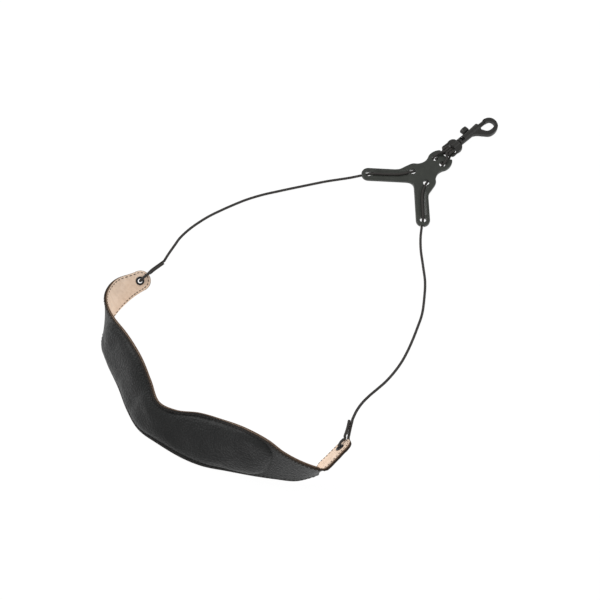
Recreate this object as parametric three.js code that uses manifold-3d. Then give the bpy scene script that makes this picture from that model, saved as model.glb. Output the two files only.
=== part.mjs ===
// A saxophone neck strap, in millimetres with +Z up.
//
// The padded leather band stands on its long edge in an open C. A thin cord runs from an
// eyelet in each end of the band to a Y-shaped yoke plate, which grips it in holes and
// grooves, and on round the bar of a swivel eye that carries a trigger snap hook.
// +X is the wearer's right across the strap and +Y runs from the nape to the hook.
import * as THREE from "three";
import { mergeVertices } from "three/addons/utils/BufferGeometryUtils.js";
import Module from "manifold-3d";

const wasm = await Module();
wasm.setup();

// Driving dimensions.
const GAP = 0.3; // between pieces that touch
const CORD_DIAMETER = 2.4;
const CORD_SIDES = 8;
const LEATHER_THICKNESS = 1.25;
const PADDING_RISE = 5; // how far the padding lifts the outer leather
const PADDING_MARGIN = 5; // flat leather between the padding and a long edge
const TAB_RADIUS = 9.5; // the rounded ends of the band
const EYELET_HOLE_RADIUS = 3;
const YOKE_Y = 149; // the line through the holes at the tips of the yoke's arms
const YOKE_THICKNESS = 4;
const YOKE_HOLE_RADIUS = 3;
const GROOVE_WIDTH = 3;
const TROUGH_WIDTH = 7.6; // the shallow trough that the groove lies in
const ARM_RADIUS = 7;
const EYE_BAR_Y = 76.2; // from the arm holes to the bar of the swivel eye
const EYE_BAR_RADIUS = 1.5;
const HOOK_X = -1.2; // the hook hangs a little to one side
const HOOK_Y = 93; // from the arm holes to the start of the hook's shaft
const HOOK_Z = 4.5;
const SHAFT_RADIUS = 3.9;
const COLLAR_RADIUS = 4.5; // the shaft's front end, which it widens to
const SHAFT_LENGTH = 28.5;
const BORE_RADIUS = 2.6;
const PLUNGER_RADIUS = 2.25;
const RIVET_HOLE_RADIUS = 1.6;
const STEM_RADIUS = 1.3; // of the thumb knob's stem, which slides in a slot of the shaft
const PLUNGER_TRAVEL = 6.6;
const KNOB_ALONG = 15; // the thumb knob's place along the shaft, gate closed

// The band, as pairs of points on its standing edge (foot) and its upper edge (head),
// from the left tab round the nape to the right tab.
const BAND_STATIONS = [
  { foot: [-75.9, -97.8, 24.2], head: [-92.9, -94.4, 32.6] },
  { foot: [-78.9, -107, 21.8], head: [-95.9, -103.6, 30.2] },
  { foot: [-83, -119, 17], head: [-101, -121.5, 32.5] },
  { foot: [-85.7, -132, 11], head: [-94.5, -136.5, 40] },
  { foot: [-84.8, -145, 6], head: [-86, -146, 44] },
  { foot: [-79.4, -158.5, 1], head: [-76.5, -151, 45.5] },
  { foot: [-71.3, -168, 0], head: [-63, -155, 48] },
  { foot: [-54, -176, 0], head: [-40, -158, 50] },
  { foot: [-28, -184.5, 0], head: [-13.5, -164, 50] },
  { foot: [-3.5, -194, 0], head: [6.5, -171, 43.5] },
  { foot: [19, -199.5, 3], head: [25.5, -178, 38] },
  { foot: [42, -197, 6], head: [40, -171, 33.5] },
  { foot: [66, -190, 3], head: [56.5, -158, 34.5] },
  { foot: [84.5, -181, 1], head: [77.5, -149.5, 40.5] },
  { foot: [103.5, -167, 0], head: [101.5, -143.5, 51] },
  { foot: [123, -153, 0], head: [124.5, -137.5, 52.5] },
  { foot: [137, -142, 0], head: [140, -134.5, 49] },
  { foot: [151.5, -130, 1], head: [152.5, -129, 43.5] },
  { foot: [159, -119.5, 4.5], head: [164.8, -122.4, 40] },
  { foot: [161.6, -113.4, 6.4], head: [169.6, -119.2, 38.8] },
  { foot: [158.9, -109.9, 11.4], head: [173, -115.6, 37.3] },
  { foot: [159.3, -99.2, 16.8], head: [172.3, -101, 34.6] },
  { foot: [158.7, -87.5, 17.6], head: [170.8, -89.4, 32.7] },
  { foot: [158.6, -75.7, 18], head: [170.3, -78.5, 32] },
];
const BAND_LIFT = 1; // keeps the lining's lower edge off the ground
const PADDING_ENDS = [5.8, 15.5]; // the stations between which the band is padded

// The free cords, from the sewn end at each tab to the tip of the yoke's arm.
const LEFT_FREE_CORD = [
  [-89.4, -74, 25.4], [-93, -66, 24], [-97.5, -55, 21.6], [-102, -44, 18.8], [-105, -31, 15.6],
  [-106.3, -17, 12.5], [-106.2, -3, 9.8], [-104.7, 10, 7.5], [-102.5, 23, 5.5],
  [-98.9, 38.5, 3.6], [-93, 54.5, 2.3], [-85.5, 69.5, 1.6], [-79.6, 80.4, 1.45],
  [-73.6, 91, 1.45], [-67.5, 101.8, 1.45], [-61.3, 112.5, 1.45], [-54.5, 123, 1.45],
  [-48, 133, 1.45], [-42.4, 142.8, 1.45],
];
const RIGHT_FREE_CORD = [
  [151.2, -60.4, 26.2], [147.6, -52.2, 24.7], [144.6, -42, 22], [143, -31, 19.2],
  [142.3, -20, 16.5], [141.4, -8, 13.7], [139, 6, 10.9], [135.6, 19, 8.6], [131, 31.5, 6.6],
  [125.5, 44, 4.9], [119.4, 56.5, 3.5], [111, 72.3, 2.2], [100, 86.8, 1.6], [88.3, 100, 1.45],
  [74.3, 111.7, 1.45], [60.2, 123.2, 1.45], [50, 133.4, 1.45], [42.4, 142.8, 1.45],
];

// The cord through the yoke's right half, in the yoke's own frame: in at the arm's tip
// below the plate, up at the tip hole, along the arm, down at the middle hole, up at the
// nose hole. The left half mirrors it.
const THREADED_CORD = [
  [42.2, -6, 1.45], [40.4, -3.2, 1.5], [38.8, -1, 1.9], [37, 1.1, 2.75], [34.6, 3.4, 3.3],
  [31, 6.8, 3.35], [26, 11.5, 3.35], [21, 16.4, 3.35], [16.5, 21.4, 3.35], [13.4, 26, 3.3],
  [11.6, 29.8, 3.2], [10.3, 32.6, 2.6], [9.2, 35.8, 1.7], [8.2, 39.5, 1.45], [7.2, 46, 1.45],
  [6.8, 53, 1.45], [6.5, 58.2, 1.45], [6.4, 59.8, 1.95], [6.4, 61, 3], [6.35, 62, 4.2],
  [6.3, 63.3, 5.2], [6.1, 64.8, 5.65], [5.8, 66.6, 5.8],
];
// The cord's own end comes back below the nose and up beside it in the nose hole.
const CORD_TAIL = [
  [4.1, 71.7, 1.45], [4, 69, 1.45], [3.8, 66, 1.45], [3.6, 63.8, 1.7], [3.7, 62.5, 2.6],
  [3.75, 61.8, 3.7],
];

const material = (colour, roughness, metalness = 0) =>
  new THREE.MeshStandardMaterial({ color: colour, roughness, metalness });
const BLACK_LEATHER = material(0x2b2c2d, 0.6);
const TAN_LEATHER = material(0xe0c7ab, 0.8);
const FOAM = material(0xb9b4a6, 0.95);
const BLACK_METAL = material(0x26262a, 0.35, 0.6);
const CORD = material(0x3a3632, 0.8);
const BLACK_PLASTIC = material(0x262824, 0.3);
const SPRING_STEEL = material(0x8d8f92, 0.3, 1);

const strap = new THREE.Group();
const yoke = new THREE.Group();
yoke.position.set(0, YOKE_Y, 0);
const hook = new THREE.Group();
hook.position.set(HOOK_X, YOKE_Y + HOOK_Y, HOOK_Z);
strap.add(yoke, hook);

const point = ([x, y, z]) => new THREE.Vector3(x, y, z);
const mirrored = (points) => points.map(([x, y, z]) => [-x, y, z]);

function addPiece(parent, name, geometry, surface) {
  const piece = new THREE.Mesh(geometry, surface);
  piece.name = name;
  parent.add(piece);
  return piece;
}

// Booleans.
function solidOf(geometry) {
  const bare = geometry.clone();
  bare.deleteAttribute("normal");
  bare.deleteAttribute("uv");
  const merged = mergeVertices(bare, 1e-4);
  const vertProperties = new Float32Array(merged.attributes.position.array);
  const triVerts = new Uint32Array(merged.index.array);
  return new wasm.Manifold(new wasm.Mesh({ numProp: 3, vertProperties, triVerts }));
}

function geometryOf(solid) {
  const mesh = solid.getMesh();
  const geometry = new THREE.BufferGeometry();
  geometry.setAttribute("position", new THREE.BufferAttribute(mesh.vertProperties, 3));
  geometry.setIndex(new THREE.BufferAttribute(mesh.triVerts, 1));
  return geometry;
}

function cut(geometry, ...tools) {
  return geometryOf(tools.reduce((left, tool) => left.subtract(solidOf(tool)), solidOf(geometry)));
}

function join(geometry, ...others) {
  return geometryOf(others.reduce((whole, other) => whole.add(solidOf(other)), solidOf(geometry)));
}

// Simple shapes.
function circle(radius, sides) {
  const corners = [];
  for (let i = 0; i < sides; i += 1) {
    const angle = (2 * Math.PI * i) / sides;
    corners.push(new THREE.Vector2(radius * Math.cos(angle), radius * Math.sin(angle)));
  }
  return new THREE.Shape(corners);
}

function tube(points, diameter, steps, sides = CORD_SIDES) {
  const extrudePath = new THREE.CatmullRomCurve3(points.map(point), false, "centripetal");
  return new THREE.ExtrudeGeometry(circle(diameter / 2, sides), { steps, extrudePath });
}

// A round bar from one point to another.
function rod(radius, from, to, sides = 24) {
  const start = point(from);
  const along = point(to).sub(start);
  const bar = new THREE.CylinderGeometry(radius, radius, along.length(), sides);
  bar.translate(0, along.length() / 2, 0);
  const turn = new THREE.Quaternion().setFromUnitVectors(
    new THREE.Vector3(0, 1, 0), along.clone().normalize());
  return bar.applyQuaternion(turn).translate(start.x, start.y, start.z);
}

function block(low, high) {
  const size = point(high).sub(point(low));
  const middle = point(high).add(point(low)).multiplyScalar(0.5);
  return new THREE.BoxGeometry(size.x, size.y, size.z).translate(middle.x, middle.y, middle.z);
}

// The band's surface. Along runs 0 to 1 from the left tab to the right one, across runs
// 0 to 1 from foot to head, and depth is measured outwards, away from the neck.
const liftedCurve = (edge) => new THREE.CatmullRomCurve3(
  BAND_STATIONS.map((station) => point(station[edge]).add(point([0, 0, BAND_LIFT]))),
  false, "centripetal");
const footCurve = liftedCurve("foot");
const headCurve = liftedCurve("head");
const lastStation = BAND_STATIONS.length - 1;

const bandMiddle = (along) => footCurve.getPoint(along).lerp(headCurve.getPoint(along), 0.5);
const leftTip = bandMiddle(0);
const rightTip = bandMiddle(1);

function bandNormal(along) {
  const step = 0.01;
  const ahead = bandMiddle(Math.min(along + step, 1));
  const behind = bandMiddle(Math.max(along - step, 0));
  const across = headCurve.getPoint(along).sub(footCurve.getPoint(along));
  return ahead.sub(behind).cross(across).normalize();
}

function bandPoint(along, across, depth) {
  const middle = bandMiddle(along);
  const fromTip = Math.min(middle.distanceTo(leftTip), middle.distanceTo(rightTip));
  const inward = Math.min(fromTip / TAB_RADIUS, 1);
  const roundness = Math.max(Math.sqrt(1 - (1 - inward) ** 2), 0.2);
  const foot = middle.clone().lerp(footCurve.getPoint(along), roundness);
  const head = middle.clone().lerp(headCurve.getPoint(along), roundness);
  return foot.lerp(head, across).addScaledVector(bandNormal(along), depth);
}

// How far the padding lifts the outer leather at a place on the band.
function paddingRise(along, across) {
  const [start, end] = PADDING_ENDS.map((station) => station / lastStation);
  const lengthwise = Math.abs(2 * along - start - end) / (end - start);
  const width = footCurve.getPoint(along).distanceTo(headCurve.getPoint(along));
  const crosswise = Math.abs(2 * across - 1) / (1 - (2 * PADDING_MARGIN) / width);
  const crown = (x, power) => Math.max(1 - x ** power, 0);
  return PADDING_RISE * crown(lengthwise, 8) * crown(crosswise, 3);
}

// A sheet bent along the band, between two depths that may vary over it.
function bandSheet(lengthSteps, widthSteps, inner, outer, reach = [0, 1], spread = [0, 1]) {
  const sheet = new THREE.BoxGeometry(1, 1, 1, lengthSteps, widthSteps, 1);
  const places = sheet.attributes.position;
  for (let i = 0; i < places.count; i += 1) {
    const even = places.getX(i) + 0.5;
    const closerAtEnds = 0.65 * even + 0.35 * (1 - Math.cos(Math.PI * even)) / 2;
    const along = reach[0] + (reach[1] - reach[0]) * closerAtEnds;
    const across = spread[0] + (spread[1] - spread[0]) * (places.getY(i) + 0.5);
    const depth = places.getZ(i) > 0 ? outer(along, across) : inner(along, across);
    const place = bandPoint(along, across, depth);
    places.setXYZ(i, place.x, place.y, place.z);
  }
  return sheet;
}

// The frame of an eyelet: its centre, the direction out of the leather on the black side,
// and the directions in which its cord leaves, first flat on the tab and then free.
function eyeletFrame(station, cordStart) {
  const along = station / lastStation;
  const centre = bandMiddle(along);
  const outward = bandNormal(along);
  const pull = point(cordStart).sub(centre).normalize();
  const onTab = pull.clone().addScaledVector(outward, -pull.dot(outward)).normalize();
  return { centre, outward, pull, onTab };
}

const EYELETS = {
  left: eyeletFrame(1, LEFT_FREE_CORD[0]),
  right: eyeletFrame(lastStation - 1, RIGHT_FREE_CORD[0]),
};

function alongEyelet({ centre, outward }, depth) {
  return centre.clone().addScaledVector(outward, depth).toArray();
}

// The padded leather band.
function addBand() {
  const seam = GAP;
  const holes = Object.values(EYELETS).map(
    (eyelet) => rod(EYELET_HOLE_RADIUS, alongEyelet(eyelet, -9), alongEyelet(eyelet, 9)));
  const lining = bandSheet(46, 4, () => -seam - LEATHER_THICKNESS, () => -seam);
  const leather = bandSheet(
    46, 8,
    (along, across) => seam + paddingRise(along, across),
    (along, across) => seam + paddingRise(along, across) + LEATHER_THICKNESS);
  addPiece(strap, "lining_leather", cut(lining, ...holes), TAN_LEATHER);
  addPiece(strap, "outer_leather", cut(leather, ...holes), BLACK_LEATHER);
  const [start, end] = PADDING_ENDS.map((station) => station / lastStation);
  const inset = 0.01;
  const foam = bandSheet(
    30, 6, () => 2 * seam, (along, across) => paddingRise(along, across) - 3 * seam,
    [start + inset, end - inset], [0.2, 0.8]);
  addPiece(strap, "foam_core", foam, FOAM);
}

// A lathe profile of [radius, depth] points, turned about an eyelet's axis.
function turnedOnEyelet({ centre, outward }, profile) {
  const outline = [...profile, profile[0]].map(([radius, depth]) => new THREE.Vector2(radius, depth));
  const turn = new THREE.Quaternion().setFromUnitVectors(new THREE.Vector3(0, 1, 0), outward);
  return new THREE.LatheGeometry(outline, 18)
    .applyQuaternion(turn)
    .translate(centre.x, centre.y, centre.z);
}

// A flanged eyelet set from the lining side, and the washer that its barrel is rolled over.
function addEyelet(side) {
  const barrel = [2.2, 2.6];
  const flangeRadius = 4.1;
  const stack = GAP + LEATHER_THICKNESS;
  const flange = [-stack - 0.85, -stack - 0.3];
  const washer = [stack + 0.3, stack + 0.7];
  const rimRadius = 3.4;
  const rim = [washer[1] + GAP, washer[1] + GAP + 0.4];
  addPiece(strap, `${side}_eyelet`, turnedOnEyelet(EYELETS[side], [
    [barrel[0], flange[0]], [flangeRadius, flange[0]], [flangeRadius, flange[1]],
    [barrel[1], flange[1]], [barrel[1], rim[0]], [rimRadius, rim[0]],
    [rimRadius, rim[1]], [barrel[0], rim[1]],
  ]), BLACK_METAL);
  addPiece(strap, `${side}_washer`, turnedOnEyelet(EYELETS[side], [
    [barrel[1] + GAP, washer[0]], [flangeRadius, washer[0]],
    [flangeRadius, washer[1]], [barrel[1] + GAP, washer[1]],
  ]), BLACK_METAL);
}

// The cord's end: from the free cord down the tab's black side, up through the eyelet, and
// back over the lining to lie sewn beside itself, towards the strap's middle.
function addCordEnd(side, freeCord) {
  const { centre, outward, pull, onTab } = EYELETS[side];
  const inwards = new THREE.Vector3(side === "left" ? 1 : -1, 0, 0).sub(outward);
  const beside = inwards.addScaledVector(pull, -inwards.dot(pull)).setLength(CORD_DIAMETER + GAP);
  const place = (direction, distance, depth = 0, share = 0) => centre.clone()
    .addScaledVector(direction, distance).addScaledVector(outward, depth).addScaledVector(beside, share);
  const start = point(freeCord[0]).addScaledVector(pull, -2 * GAP);
  const doubled = start.distanceTo(centre);
  const route = [
    start,
    place(pull, 0.75 * doubled, 0, -0.4),
    place(pull, 0.54 * doubled, 0.4, -0.7),
    place(onTab, 12, 2.8, -0.5),
    place(onTab, 8, 4.2),
    place(onTab, 4, 4.75),
    place(onTab, 0.8, 3.7),
    place(onTab, 0, 0),
    place(onTab, 0.8, -3.2),
    place(onTab, 4, -4.2),
    place(onTab, 8, -3.8, 0.1),
    place(onTab, 11.5, -2.6, 0.25),
    place(pull, 0.54 * doubled, -0.4, 0.3),
    place(pull, 0.75 * doubled, 0, 0.6),
    place(pull, 0.93 * doubled, 0, 0.9),
  ];
  addPiece(strap, `${side}_cord_end`, tube(route.map((p) => p.toArray()), CORD_DIAMETER, 36), CORD);
}

const YOKE_HOLES = [[38, 0], [9.4, 34.1], [5.1, 61.9]];

// The yoke plate's outline, drawn for the right half and mirrored.
function yokeOutline() {
  const tip = new THREE.Vector2(...YOKE_HOLES[0]);
  const armAngle = Math.atan2(tip.x, 35.3); // the arm's edges are square to this direction
  const inner = new THREE.Vector2(-Math.cos(armAngle), -Math.sin(armAngle));
  const side = [];
  side.push(new THREE.Vector2(0, 23.3), new THREE.Vector2(2.4, 22.8), new THREE.Vector2(6, 20.2));
  for (let i = 0; i <= 10; i += 1) {
    const turn = new THREE.Vector2().copy(inner).rotateAround(new THREE.Vector2(), (Math.PI * i) / 10);
    side.push(turn.multiplyScalar(ARM_RADIUS).add(tip));
  }
  const flank = new THREE.SplineCurve([
    [23.3, 23.2], [20.6, 26.8], [18.7, 33.7], [16.4, 41], [12.1, 45.4], [9.8, 51],
    [10.2, 56], [12.1, 60.8], [12.1, 66], [10.7, 70.2], [8.7, 72.9], [7.6, 73.2], [6.4, 72.2],
    [4, 71.5], [0, 71.5],
  ].map(([x, y]) => new THREE.Vector2(x, y)));
  side.push(...flank.getPoints(30));
  const other = side.slice(1, -1).reverse().map(({ x, y }) => new THREE.Vector2(-x, y));
  return new THREE.Shape([...side, ...other]);
}

// A flat-bottomed groove under a stretch of the cord's route, between two heights.
function groove(route, low, high, width = GROOVE_WIDTH) {
  const line = new THREE.SplineCurve(route.map(([x, y]) => new THREE.Vector2(x, y)));
  const left = [];
  const right = [];
  for (let i = 0; i <= 10; i += 1) {
    const place = line.getPoint(i / 10);
    const heading = line.getTangent(i / 10);
    const sideways = new THREE.Vector2(-heading.y, heading.x).multiplyScalar(width / 2);
    left.push(place.clone().add(sideways));
    right.push(place.clone().sub(sideways));
  }
  const outline = new THREE.Shape([...right, ...left.reverse()]);
  const depth = high - low;
  return new THREE.ExtrudeGeometry(outline, { depth, bevelEnabled: false }).translate(0, 0, low);
}

function addYokePlate() {
  const edge = 0.5;
  const plate = new THREE.ExtrudeGeometry(yokeOutline(), {
    depth: YOKE_THICKNESS - 2 * edge, bevelThickness: edge, bevelSize: edge, bevelOffset: -edge,
    bevelSegments: 1,
  }).translate(0, 0, edge);
  const flare = YOKE_HOLE_RADIUS + 1.4; // the holes widen towards the back
  const cuts = [];
  for (const mirror of [1, -1]) {
    const placed = (route) => route.map(([x, y]) => [mirror * x, y]);
    for (const [x, y] of YOKE_HOLES) {
      cuts.push(rod(YOKE_HOLE_RADIUS, [mirror * x, y, -1], [mirror * x, y, YOKE_THICKNESS + 1]));
      cuts.push(new THREE.CylinderGeometry(YOKE_HOLE_RADIUS, flare, YOKE_THICKNESS, 24)
        .rotateX(Math.PI / 2).translate(mirror * x, y, 0));
    }
    const ground = -1;
    const backDepth = 3.05;
    const troughFloor = 3.1;
    const sky = YOKE_THICKNESS + 1;
    const frontFloor = 1.6;
    cuts.push(groove(placed([[44, -8.8], [40.4, -3.2], [38, 0]]), ground, backDepth));
    cuts.push(groove(placed(THREADED_CORD.slice(3, 12)), frontFloor, sky));
    cuts.push(groove(placed(THREADED_CORD.slice(4, 11)), troughFloor, sky, TROUGH_WIDTH));
    cuts.push(groove(placed(THREADED_CORD.slice(11, 19)), ground, backDepth));
    cuts.push(groove(placed([[4.1, 75], ...CORD_TAIL.slice(0, 4), [3.7, 61.8]]), ground, backDepth));
  }
  addPiece(yoke, "yoke_plate", cut(plate, ...cuts), BLACK_PLASTIC);
}

// The cord from the yoke's nose round the eye's bar and back. It goes round the bar twice,
// first beside the middle line and then beside the eye's rail. The side is 1 on the right
// and -1 on the left.
function loopRoute(side) {
  const ring = EYE_BAR_RADIUS + GAP + CORD_DIAMETER / 2 + 0.05; // the turns' radius
  const beside = CORD_DIAMETER / 2 + GAP / 2;
  const outer = HOOK_X + side * (3 * beside - 0.05);
  const inner = HOOK_X + side * beside;
  const [startX, startY, startZ] = THREADED_CORD.at(-1);
  const [tailX, tailY, tailZ] = CORD_TAIL[0];
  const route = [
    [side * startX, startY + 0.65, startZ + 0.1],
    [0.6 * side * startX + 0.4 * inner, 69.9, 6.8],
    [inner, 73, 7.5],
  ];
  for (let degrees = 90; degrees >= -450; degrees -= 30) {
    const angle = THREE.MathUtils.degToRad(degrees);
    const crossing = THREE.MathUtils.smoothstep(-degrees, 135, 225);
    const x = inner + (outer - inner) * crossing;
    const beyond = ring * Math.cos(angle);
    const slack = beyond > 0 ? 1.65 : 1; // the loops hang loose behind the bar
    route.push([x, EYE_BAR_Y + slack * beyond, HOOK_Z + ring * Math.sin(angle)]);
  }
  const lastX = side * tailX;
  route.push(
    [0.6 * outer + 0.4 * lastX, 74.6, tailZ],
    [lastX, tailY + 1.4, tailZ],
    [lastX, tailY + 0.4, tailZ],
  );
  return route;
}

function addThreadedCords() {
  addPiece(yoke, "right_threaded_cord", tube(THREADED_CORD, CORD_DIAMETER, 46), CORD);
  addPiece(yoke, "left_threaded_cord", tube(mirrored(THREADED_CORD), CORD_DIAMETER, 46), CORD);
  addPiece(yoke, "right_cord_tail", tube(CORD_TAIL, CORD_DIAMETER, 6), CORD);
  addPiece(yoke, "left_cord_tail", tube(mirrored(CORD_TAIL), CORD_DIAMETER, 6), CORD);
  addPiece(yoke, "right_cord_loop", tube(loopRoute(1), CORD_DIAMETER, 44), CORD);
  addPiece(yoke, "left_cord_loop", tube(loopRoute(-1), CORD_DIAMETER, 44), CORD);
}

// The swivel eye: a rectangular ring whose far bar holds the cord and whose base holds the hook.
// Its shapes are in the hook's frame, where the shaft runs from the origin along +Y.
function addSwivelEye() {
  const barY = EYE_BAR_Y - HOOK_Y;
  const railX = 6.95;
  const railRadius = 1.2;
  const base = [-9.4, -0.6];
  const bar = rod(EYE_BAR_RADIUS, [-railX, barY, 0], [railX, barY, 0], 16);
  const ends = [-railX, railX].flatMap((x) => [
    new THREE.SphereGeometry(EYE_BAR_RADIUS, 16, 8).rotateX(Math.PI / 2).translate(x, barY, 0),
    rod(railRadius, [x, barY, 0], [x, base[0] + 0.5, 0], 16),
  ]);
  const shoulders = [[7.7, base[0]], [8, -6], [7.2, -3.2], [5.4, -1.2], [3.4, base[1]]];
  const outline = [...shoulders, ...shoulders.map(([x, y]) => [-x, y]).reverse()];
  const thickness = 4.2;
  const shape = new THREE.Shape(outline.map(([x, y]) => new THREE.Vector2(x, y)));
  const baseBlock = new THREE.ExtrudeGeometry(shape, { depth: thickness, bevelEnabled: false })
    .translate(0, 0, -thickness / 2);
  const bossRadius = 3.3;
  const boss = rod(bossRadius, [0, base[0], 0], [0, base[1], 0]);
  const hole = rod(RIVET_HOLE_RADIUS, [0, base[0] - 1, 0], [0, base[1] + 1, 0]);
  addPiece(hook, "swivel_eye", cut(join(bar, ...ends, baseBlock, boss), hole), BLACK_METAL);
}

// The rivet's head lies inside the eye and its tail is spread inside the hook's shaft.
function addSwivelRivet() {
  const profile = [
    [0, -10.6], [1.6, -10.55], [2.5, -10.2], [2.7, -9.7], [1.3, -9.7], [1.3, 2.1], [2.2, 2.1],
    [2.2, 2.7], [0, 2.7],
  ].map(([radius, along]) => new THREE.Vector2(radius, along));
  addPiece(hook, "swivel_rivet", new THREE.LatheGeometry(profile, 20), BLACK_METAL);
}

// The hook's bow, drawn from where it leaves the shaft, round the mouth to the nose.
function bowOutline() {
  const outer = new THREE.SplineCurve([
    [3.6, 16.5], [5.6, 20], [10.8, 24.6], [15, 28.6], [16.4, 33], [15.9, 38.5], [13.6, 43.2],
    [9, 46.1], [4, 46.4], [0.2, 44.3], [-1.9, 40.6], [-2.4, 37],
  ].map(([x, y]) => new THREE.Vector2(x, y)));
  const inner = new THREE.SplineCurve([
    [1.8, 37], [2.3, 39.8], [3.6, 42], [6.4, 42.8], [9.8, 41.7], [11.4, 38.4], [11.4, 33.6],
    [10.2, 30.6], [6.4, 28.4], [4.9, 27.8],
  ].map(([x, y]) => new THREE.Vector2(x, y)));
  return new THREE.Shape([
    ...outer.getPoints(26), ...inner.getPoints(17),
    new THREE.Vector2(0, 26), new THREE.Vector2(0, 17),
  ]);
}

function addHookBody() {
  const thickness = 4.8;
  const edge = 0.9;
  const bow = new THREE.ExtrudeGeometry(bowOutline(), {
    depth: thickness - 2 * edge, bevelThickness: edge, bevelSize: edge, bevelOffset: -edge,
    bevelSegments: 2,
  }).translate(0, 0, edge - thickness / 2);
  const shaft = rod(SHAFT_RADIUS, [0, 0, 0], [0, SHAFT_LENGTH, 0]);
  const taper = 10.5;
  const collar = new THREE.CylinderGeometry(COLLAR_RADIUS, SHAFT_RADIUS - 0.1, taper, 24)
    .translate(0, SHAFT_LENGTH - taper / 2, 0);
  const endWall = 1.8;
  const bore = rod(BORE_RADIUS, [0, endWall, 0], [0, SHAFT_LENGTH + 1, 0]);
  const rivetHole = rod(RIVET_HOLE_RADIUS, [0, -1, 0], [0, endWall + 1, 0]);
  const slotHalf = STEM_RADIUS + 0.4;
  const slotEnds = [KNOB_ALONG - PLUNGER_TRAVEL - slotHalf - 0.1, KNOB_ALONG + slotHalf + 0.1];
  const slot = block([-SHAFT_RADIUS - 1, slotEnds[0], -slotHalf], [0, slotEnds[1], slotHalf]);
  const window = block([-2.1, 2.3, 1], [2.1, 6.3, SHAFT_RADIUS + 1]);
  const body = cut(join(shaft, collar, bow), bore, rivetHole, slot, window);
  addPiece(hook, "hook_body", body, BLACK_METAL);
}

function addTrigger() {
  const back = KNOB_ALONG - 2;
  const front = SHAFT_LENGTH + 8.2;
  const socket = rod(STEM_RADIUS + GAP, [-3, KNOB_ALONG, 0], [0, KNOB_ALONG, 0]);
  const plunger = rod(PLUNGER_RADIUS, [0, back, 0], [0, front, 0]);
  addPiece(hook, "plunger", cut(plunger, socket), BLACK_METAL);
  const stem = rod(STEM_RADIUS, [-0.4, KNOB_ALONG, 0], [-8, KNOB_ALONG, 0], 16);
  const padRadius = 4.3;
  const padEdge = 0.8;
  const padHeight = 0.66; // as a share of its length along the shaft
  const pad = new THREE.ExtrudeGeometry(circle(padRadius, 20), {
    depth: 3.1, bevelThickness: padEdge, bevelSize: padEdge, bevelOffset: -padEdge, bevelSegments: 2,
  });
  pad.rotateY(-Math.PI / 2).scale(1, 1, padHeight).translate(-5.4, KNOB_ALONG, 0);
  addPiece(hook, "thumb_knob", join(stem, pad), BLACK_METAL);
}

// The return spring, a wire helix between the rivet's tail and the plunger.
function addReturnSpring() {
  const wire = 0.55;
  const coilRadius = 1.9;
  const coils = 5;
  const [start, end] = [3, KNOB_ALONG - 2.3];
  const helix = [];
  const stepsPerCoil = 10;
  for (let i = 0; i <= coils * stepsPerCoil; i += 1) {
    const angle = (2 * Math.PI * i) / stepsPerCoil;
    const along = start + ((end - start) * i) / (coils * stepsPerCoil);
    helix.push([coilRadius * Math.cos(angle), along, coilRadius * Math.sin(angle)]);
  }
  addPiece(hook, "return_spring", tube(helix, wire, 60, 6), SPRING_STEEL);
}

addBand();
addEyelet("left");
addEyelet("right");
addCordEnd("left", LEFT_FREE_CORD);
addCordEnd("right", RIGHT_FREE_CORD);
addPiece(strap, "left_free_cord", tube(LEFT_FREE_CORD, CORD_DIAMETER, 42), CORD);
addPiece(strap, "right_free_cord", tube(RIGHT_FREE_CORD, CORD_DIAMETER, 42), CORD);
addYokePlate();
addThreadedCords();
addSwivelEye();
addSwivelRivet();
addHookBody();
addTrigger();
addReturnSpring();

// The origin: the middle of the strap's base, measured without the free cords.
strap.updateMatrixWorld(true);
const base = new THREE.Box3();
strap.traverse((piece) => {
  if (piece.isMesh && !piece.name.endsWith("free_cord")) base.expandByObject(piece, true);
});
const middle = base.getCenter(new THREE.Vector3());
strap.position.set(-middle.x, -middle.y, -base.min.z);

export default strap;
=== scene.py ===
"""The looks of the saxophone neck strap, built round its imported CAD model.

Lengths in this file are millimetres in the strap's own frame: x across the strap, y from the
nape to the hook, z up. place() turns them into the row frame's metres.
"""

import math

import bmesh
import bpy
import numpy as np
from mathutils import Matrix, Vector


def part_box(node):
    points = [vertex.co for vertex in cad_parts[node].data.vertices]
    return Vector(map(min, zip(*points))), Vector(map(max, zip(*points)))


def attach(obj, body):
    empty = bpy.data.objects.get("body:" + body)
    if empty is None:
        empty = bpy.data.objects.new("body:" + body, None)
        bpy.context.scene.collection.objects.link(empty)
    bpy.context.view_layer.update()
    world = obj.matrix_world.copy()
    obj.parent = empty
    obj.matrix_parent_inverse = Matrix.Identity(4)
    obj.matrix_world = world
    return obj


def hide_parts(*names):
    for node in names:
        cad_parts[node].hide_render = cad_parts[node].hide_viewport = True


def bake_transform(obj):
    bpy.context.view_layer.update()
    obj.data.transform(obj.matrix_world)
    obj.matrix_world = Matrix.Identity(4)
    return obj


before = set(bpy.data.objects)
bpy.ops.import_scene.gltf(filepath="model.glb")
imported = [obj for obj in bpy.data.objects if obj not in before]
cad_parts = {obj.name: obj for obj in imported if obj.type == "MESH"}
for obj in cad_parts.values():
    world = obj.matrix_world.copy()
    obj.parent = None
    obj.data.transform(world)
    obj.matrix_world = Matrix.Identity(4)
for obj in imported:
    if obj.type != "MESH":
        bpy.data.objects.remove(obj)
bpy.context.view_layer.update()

MM = 0.001

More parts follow.
